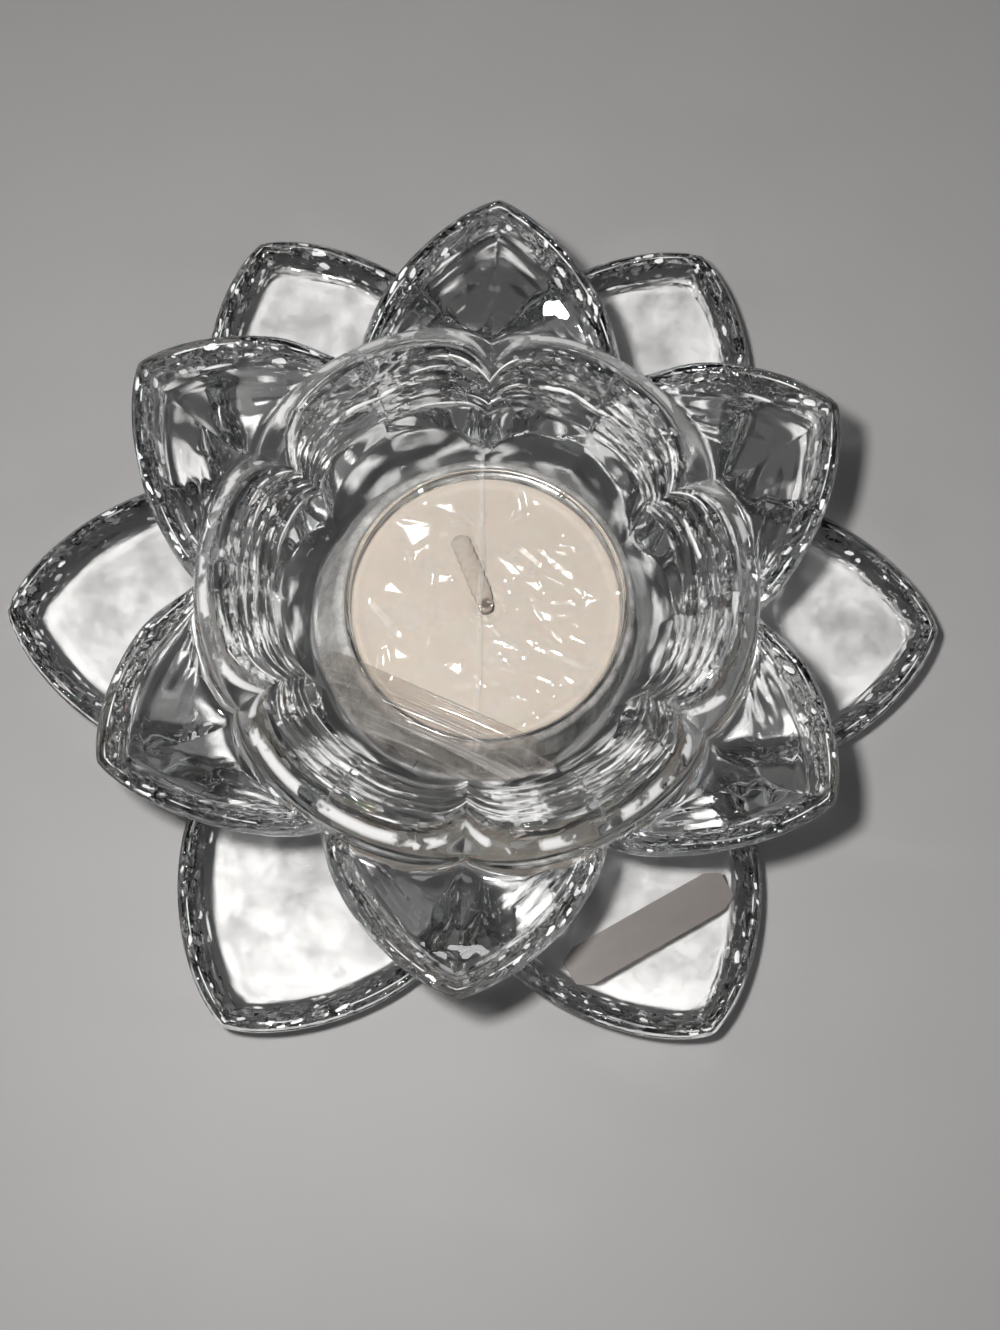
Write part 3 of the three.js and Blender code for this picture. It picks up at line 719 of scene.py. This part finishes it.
cup_floor = cup_wall + 0.1
rim_turn = np.radians(np.linspace(170, -60, 14))
rim_roll = [
    (cup_radius + cup_rim * math.cos(a), cup_height - cup_rim + cup_rim * math.sin(a)) for a in rim_turn
]
cup_profile = [
    (0.5, cup_floor),
    (12, cup_floor),
    (cup_radius - 1.3, cup_floor),
    (cup_radius - 0.75, cup_wall + 0.35),
    (cup_radius - cup_wall - 0.1, cup_wall + 1.1),
    (cup_radius - cup_wall, cup_height - 1.2),
    *rim_roll,
    (cup_radius, cup_height - 1.1),
    (cup_radius - 0.1, 1.0),
    (cup_radius - 0.35, 0.3),
    (cup_radius - 0.9, 0.0),
    (12, 0.0),
    (0.5, 0.0),
]
cup = new_finish("clear_cup")
cup_plastic = cup.principled(
    Base_Color=(0.95, 0.95, 0.93, 1),
    Roughness=0.04,
    IOR=1.46,
    Transmission_Weight=1.0,
    Normal=cup.bump(cup.noise(300, 2), 0.0001, 0.4),
)
cup_seen = cup.mix(cup.rays("Shadow"), cup_plastic, cup.clear((0.85, 0.85, 0.84)))
tealight_cup = candle_piece("moulded_cup", turned_rings(cup_profile))
tealight_cup.data.materials.append(cup.surface(cup_seen))
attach(tealight_cup, "tealight")
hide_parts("tealight_cup")

# Wax. Ivory paraffin, poured into the cup round the foot. It has shrunk a little as it set, so its top
# is faintly dished, with a low ring against the wall of the cup.
wax_radius, wax_bottom, wax_top = 18.42, 0.72, 13.7
wax_shoulder, wax_ring = 18.0, 17.6
wick_hole, foot_hole, foot_radius, foot_top = 1.1, 1.9, 6.6, 5.4


def wax_rings():
    top_radii = np.concatenate([
        np.linspace(wick_hole, 17.4, 60), [17.7, 17.95, 18.15, 18.3, 18.38, wax_radius],
    ])
    profile = [(wick_hole, foot_top), (wick_hole, wax_top - 0.9), (wick_hole, wax_top - 0.35)]
    for r in top_radii:
        dish = -0.22 * (1 - (r / wax_radius) ** 2) - 0.5 * np.exp(-(r - wick_hole) / 0.7)
        rounded = -0.5 * max(0, (r - wax_shoulder) / (wax_radius - wax_shoulder)) ** 2
        ring = 0.12 * math.exp(-((r - wax_ring) / 0.5) ** 2)
        profile.append((r, wax_top + dish + (rounded + ring)))
    profile += [
        (wax_radius, wax_top - 1.2),
        (wax_radius - 0.02, 7),
        (wax_radius - 0.06, wax_bottom + 0.9),
        (wax_radius - 0.5, wax_bottom + 0.2),
        (wax_radius - 1.2, wax_bottom),
        (12, wax_bottom),
        (foot_radius, wax_bottom),
        (foot_radius, wax_bottom + 0.6),
        (foot_hole, wax_bottom + 0.8),
        (foot_hole, foot_top),
    ]
    return turned_rings(profile + profile[:1])


wax = new_finish("ivory_wax")
wax_colour = wax.blend(wax.noise(180, 4), (0.57, 0.50, 0.44), (0.66, 0.585, 0.52))
wax_body = wax.principled(
    Base_Color=wax_colour,
    Roughness=0.45,
    Subsurface_Weight=0.15,
    Subsurface_Scale=0.002,
    Normal=wax.bump(wax.noise(260, 3), 0.0003, 0.4),
)
tealight_wax = candle_piece("poured_wax", wax_rings(), ends=())
tealight_wax.data.materials.append(wax.surface(wax_body))
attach(tealight_wax, "tealight")
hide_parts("tealight_wax")

# Wick. A braided cotton cord, dipped in wax and pressed flat where it lies folded on the candle. Its
# lower end is held by a small tinplate foot in the wax.
wick_lean = math.radians(113)
wick_lying = wax_top + 1.05
wick_reach, wick_bend = 10.4, 1.9
wick_girth, braid_height, braid_pitch, wick_press = 0.78, 0.07, 2.6, 0.6


def wick_rings():
    """Rings round the wick, from its foot up to the bend and out to its tip."""
    rise = np.linspace(1.0, wick_lying - wick_bend, 50)
    turn = np.linspace(0, math.pi / 2, 16)[1:]
    lie = np.linspace(wick_bend, wick_reach, 60)[1:]
    along = np.concatenate([np.zeros(len(rise)), wick_bend * (1 - np.cos(turn)), lie])
    bend_height = wick_lying - wick_bend + wick_bend * np.sin(turn)
    height = np.concatenate([rise, bend_height, np.full(len(lie), wick_lying)])
    bend_press = turn / (math.pi / 2) * wick_press
    pressed = np.concatenate([np.zeros(len(rise)), bend_press, np.full(len(lie), wick_press)])
    travelled = np.concatenate([[0], np.cumsum(np.hypot(np.diff(along), np.diff(height)))])
    tip = np.clip((travelled[-1] - travelled) / 0.6, 0.15, 1) ** 0.5
    ways = np.gradient(np.stack([along, height], axis=1), axis=0)
    ways /= np.linalg.norm(ways, axis=1)[:, None]
    round_angle = np.linspace(0, 2 * math.pi, 40, endpoint=False)
    rings = []
    for at, up, press, way, s, end in zip(along, height, pressed, ways, travelled, tip):
        strands = [2 * round_angle + s * braid_pitch, 2 * round_angle - s * braid_pitch]
        braid = braid_height * np.abs(np.sin(strands[0])) + braid_height * np.abs(np.sin(strands[1]))
        girth = (wick_girth + braid) * end
        side = girth * (1 + 0.9 * press) * np.cos(round_angle)
        over = girth * (1 - 0.8 * press) * np.sin(round_angle)
        forward, upward = at - over * way[1], up + over * way[0]
        rings.append(np.stack([
            forward * math.cos(wick_lean) - side * math.sin(wick_lean),
            forward * math.sin(wick_lean) + side * math.cos(wick_lean),
            upward,
        ], axis=1))
    return rings


cotton = new_finish("wick_cotton")
wick_root = (candle_foot + (0, 0, wick_lying)) * MM
from_root = cotton.vector_math("DISTANCE", cotton.place(), wick_root, out="Value")
cotton_colour = cotton.blend(cotton.noise(1500, 2), (0.44, 0.37, 0.31), (0.50, 0.43, 0.37))
# Painted shade: the cotton is darkened near where the wick leaves the wax, in place of the shade in its
# hole.
cotton_with_painted_shade = cotton.blend(cotton.step(from_root, 0.0005, 0.0011, 1, 0), cotton_colour, (0.12, 0.08, 0.06))
wick = candle_piece("braided_wick", wick_rings())
wick.data.materials.append(cotton.surface(cotton.principled(Base_Color=cotton_with_painted_shade, Roughness=0.6)))
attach(wick, "tealight")
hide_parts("wick")

tin = new_finish("foot_tinplate")
tin_grain = 0.3 + tin.noise(800) * 0.1
tin_skin = tin.principled(Base_Color=(0.7, 0.71, 0.72, 1), Metallic=1.0, Roughness=tin_grain)
refinish("wick_foot", tin.surface(tin_skin))

# Film wrapper. Clear shrink film drawn over the new candle. It lies on the rim of the cup, sags a little
# between rim and wick, has a welded seam across, pulled creases, and a loose pleated skirt down the side.
# A gathered flap of it lies over the rim on the near left.
film_rim, film_sag, film_radius = cup_height + 0.25, 0.85, 19.2
skirt_drop, skirt_reach = 11.0, 23.0
flap_turn = math.radians(247)
flap_in, flap_out, flap_round = 14.4, 23.3, 23.9
seam_off, seam_wander = -0.9, 1.6
pull_rise, pull_width = 0.24, 0.85
loose_creases, fine_creases, fine_facets = 34, 44, 9


def film_height(x, y):
    """Height of the film over the mouth of the cup, with its seam, creases and turned facets."""
    chance = np.random.default_rng(23)
    radius = np.hypot(x, y)
    height = film_rim - film_sag * np.sqrt(np.maximum(0, 1 - (radius / cup_radius) ** 4))
    reach = np.clip(x * math.cos(wick_lean) + y * math.sin(wick_lean), 0, wick_reach)
    from_wick = np.hypot(x - reach * math.cos(wick_lean), y - reach * math.sin(wick_lean))
    over_wick = wick_lying + 1.1
    height = np.maximum(height, over_wick + (height - over_wick) * smoothstep(from_wick, 0.8, 3.2))

    def crease(start, end, rise, width):
        start, way = np.array(start), np.subtract(end, start)
        length = np.hypot(*way)
        share = ((x - start[0]) * way[0] + (y - start[1]) * way[1]) / length**2
        off = ((x - start[0]) * way[1] - (y - start[1]) * way[0]) / length
        taper = smoothstep(share, -0.05, 0.15) * (1 - smoothstep(share, 0.85, 1.05))
        return rise * np.maximum(0, 1 - np.abs(off) / width) * taper

    def facet(middle, size, steep=1.0):
        turn = 3.0 * middle[0] + middle[1]
        corners = turn + np.array([0, 1.9, 3.9])
        far = np.max([(x - middle[0]) * np.cos(a) + (y - middle[1]) * np.sin(a) for a in corners], axis=0)
        far = np.maximum(far, 0) / (0.7 * size)
        tilt = 0.08 * (x - middle[0]) + 0.2 * (y - middle[1])
        return steep * tilt * np.maximum(0, 1 - far**4) ** 2

    seam = crease((-1.3, 10.5), (-0.5, -15.5), 0.2, 0.4)
    pulls = [
        ((-12.7, 11.7), (-2.4, 12.0)), ((-7.3, 7.0), (-7.7, -6.0)), ((-16.4, 1.4), (-18.3, -5.6)),
        ((-13.4, -5.6), (-16.8, -9.7)), ((-13.4, -5.6), (-12.3, -11.0)), ((4.6, 17.0), (5.8, 12.8)),
        ((5.0, -16.9), (8.2, -12.7)), ((-11.5, 6.2), (-7.6, 8.8)), ((6.3, 8.8), (12.4, 4.0)),
        ((-16.4, 1.4), (-11.0, -4.8)), ((4.4, 8.8), (8.0, 5.6)), ((9.5, 8.9), (12.6, 8.3)),
    ]
    height = height + seam + sum(crease(*ends, pull_rise, pull_width) for ends in pulls)
    for _ in range(loose_creases):
        turn, out = chance.uniform(0, 2 * math.pi), 18 * math.sqrt(chance.uniform(0.02, 1))
        middle = np.array([out * math.cos(turn), out * math.sin(turn)])
        lean = turn + chance.normal(0, 0.7)
        half = chance.uniform(0.8, 4.0) * np.array([math.cos(lean), math.sin(lean)])
        rise, width = chance.uniform(-0.16, 0.18), chance.uniform(0.4, 1.0)
        height = height + crease(middle - half, middle + half, rise, width)
    for _ in range(fine_creases):
        middle = chance.uniform((-1.0, -15.0), (14.0, 6.0))
        lean, width = chance.normal(-0.35, 0.45), chance.uniform(0.25, 0.6)
        half = chance.uniform(0.5, 2.2) * np.array([math.cos(lean), math.sin(lean)])
        height = height + crease(middle - half, middle + half, 0.22 * width, width)
    turned = [
        ((-9.7, 9.8), 2.4), ((3.7, 5.1), 1.5), ((8.1, -1.7), 1.2), ((14.0, 1.3), 1.4), ((-12.6, -7.2), 1.8),
        ((6.7, 2.8), 1.0), ((5.2, 14.8), 1.6), ((-7.0, 3.5), 1.3), ((-13.0, 2.0), 1.1), ((-4.0, -9.0), 1.1),
        ((-5.2, 13.6), 1.2),
    ]
    for middle, size in turned:
        height = height + facet(middle, size * 1.5, 1.05)
    for _ in range(fine_facets):
        middle = chance.uniform((0.5, -15.5), (12.0, -2.0))
        height = height + facet(middle, chance.uniform(0.5, 1.1), 1.1)
    return height


def film_rings():
    angle = np.linspace(0, 2 * math.pi, 520, endpoint=False)
    rings = []
    for r in np.linspace(0.2, film_radius, 96):
        x, y = r * np.cos(angle), r * np.sin(angle)
        rings.append(np.stack([x, y, film_height(x, y)], axis=1))
    shoulder = rings[-1][:, 2]
    chance = np.random.default_rng(5)
    pleats = (chance.uniform(0.5, 1) * np.sin(n * angle + chance.uniform(0, 6.3)) for n in (11, 17, 23, 37))
    wobble = sum(pleats) / 2.2
    towards = candle_x * np.cos(angle) + candle_y * np.sin(angle)
    wall_reach = np.sqrt(towards**2 + skirt_reach**2 - candle_x**2 - candle_y**2) - towards
    for s in np.linspace(0, 1, 44)[1:]:
        over_rim = min(1, s * 8)
        out = film_radius + 0.75 * over_rim**0.6
        r = out + (wall_reach - out) * s**0.8 - (0.5 + 0.45 * wobble) * smoothstep(np.array(s), 0, 0.5)
        height = shoulder + (film_rim - 0.1 - shoulder) * over_rim - skirt_drop * s**1.15 + 0.5 * wobble * s
        rings.append(np.stack([r * np.cos(angle), r * np.sin(angle), height], axis=1))
    return rings


def wrap_finish(name, tint, haze, milk, skirt=0.0, seam=0.0, streaks=0.0, shine=0.06):
    """Clear film with a gloss on its wrinkles. It is milky where it is hazy: along the seam, in clouds,
    on the pleats of the skirt, and in streaks where it is gathered."""
    made = new_finish(name)
    gathered = made.node(
        "ShaderNodeMapping",
        {"vector_type": "TEXTURE"},
        {"Vector": made.place(), "Rotation": (0, 0, flap_turn), "Scale": (1, 20, 20)},
    )
    streaked = made.step(made.noise(900, 2, 0.5, gathered), 0.46, 0.66) * streaks
    across = made.node("ShaderNodeSeparateXYZ", None, {0: made.place()}, out="X")
    wander = (made.noise(90, 2) - 0.5) * (seam_wander * MM)
    off_seam = made.math("ABSOLUTE", across - (candle_x + seam_off) * MM + wander)
    welded = made.step(off_seam, 0.0002, 0.0004, 1, 0) * seam
    clouded = made.step(made.noise(150, 3, 0.6), 0.5, 0.68) * seam * 0.5
    level = made.vector_math("MULTIPLY", made.place(), (1, 1, 0))
    from_axis = made.vector_math("DISTANCE", level, candle_foot * (MM, MM, 0), out="Value")
    pleated = made.vector_math("MULTIPLY", made.place(), (1, 1, 0.2))
    pleats = 0.1 + made.noise(330, 4, 0.65, pleated) ** 2 * 3.4
    skirted = made.step(from_axis, 0.0190, 0.0198) * skirt * pleats
    wrinkles = made.bump(made.noise(260, 2, 0.5), 0.0004, 0.22)
    gloss = made.principled(Base_Color=(0.92, 0.92, 0.91, 1), Metallic=1.0, Roughness=0.19, Normal=wrinkles)
    milky = made.principled(Base_Color=(*milk, 1), Roughness=0.3, Normal=wrinkles)
    body = made.mix(haze + streaked + welded + clouded + skirted, made.clear(tint), milky)
    facing = made.node("ShaderNodeLayerWeight", None, {"Blend": 0.35}, out="Facing")
    return made.surface(made.mix(shine + facing**4 * 0.12, body, gloss))


film_skin = wrap_finish("shrink_film", (0.97, 0.97, 0.96), 0.03, (0.9, 0.88, 0.86), skirt=0.4, seam=0.22)
film = candle_piece("shrink_wrap", film_rings(), ends=("first",))
film.data.materials.append(film_skin)


def flap_sheet():
    """The gathered flap: folds along a chord of the candle, over the rim and down the side."""
    rows = []
    for q in np.linspace(flap_in, flap_out, 70):
        half = math.sqrt(flap_round**2 - q**2) * (1 - 0.12 * math.exp(-((q - flap_in) / 1.2) ** 2))
        t = np.linspace(-half, half, 90)
        x = q * math.cos(flap_turn) - t * math.sin(flap_turn)
        y = q * math.sin(flap_turn) + t * math.cos(flap_turn)
        height = film_rim + 0.35 - 0.25 * smoothstep(np.full_like(t, -q), -16.5, -flap_in)
        height = height - 0.55 * np.maximum(0, np.hypot(x, y) - 19.6) ** 1.3
        coarse = 0.16 * np.sin(q * 7.4 + 0.5 * np.sin(t * 0.21))
        fine = 0.08 * np.sin(q * 12.7 + 1.3 + 0.7 * np.sin(t * 0.13))
        rows.append(np.stack([x, y, height + (coarse + fine)], axis=1))
    rows = (np.array(rows) + candle_foot) * MM
    count, length = rows.shape[:2]
    faces = [
        (at, at + 1, at + length + 1, at + length)
        for start in range(0, (count - 1) * length, length)
        for at in range(start, start + length - 1)
    ]
    return smooth_piece("film_flap", rows.reshape(-1, 3).tolist(), faces)


gathered_skin = wrap_finish(
    "gathered_film", (0.84, 0.81, 0.78), 0.12, (0.47, 0.45, 0.43), streaks=0.35, shine=0.02
)
flap = flap_sheet()
flap.data.materials.append(gathered_skin)
for piece in (film, flap):
    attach(piece, "tealight")
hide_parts("film_wrapper")
